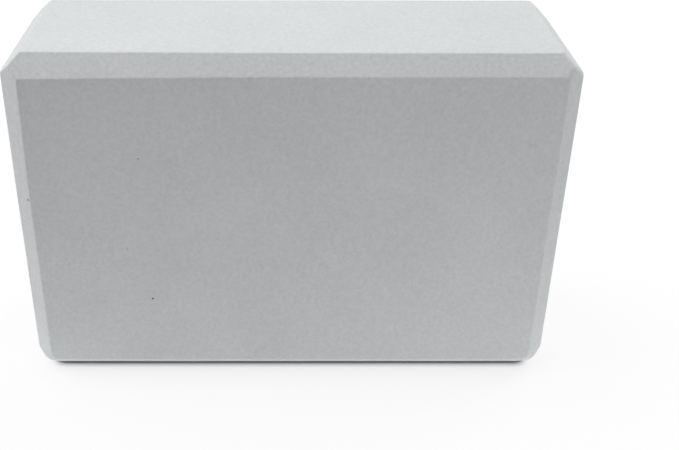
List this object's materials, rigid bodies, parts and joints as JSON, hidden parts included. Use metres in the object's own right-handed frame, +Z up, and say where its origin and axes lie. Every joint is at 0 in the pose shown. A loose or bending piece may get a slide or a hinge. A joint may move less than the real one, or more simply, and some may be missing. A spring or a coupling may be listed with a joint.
{
  "type": "yoga block",
  "caption": "Rectangular closed-cell foam brick with bevelled edges and mitred corners, used as a firm light support under a hand, foot, hip or back in yoga and stretching.",
  "frame": {"origin": "on the ground, under the middle of the block, which stands on one of its long narrow sides", "axes": "+X along the length, +Y through the thickness from the front broad face to the back broad face, +Z up"},
  "size_m": [0.2286, 0.0762, 0.1524],
  "materials": {
    "grey_foam": "matte"
  },
  "bodies": {
    "root": {"foam_block": "grey_foam"}
  },
  "joints": []
}
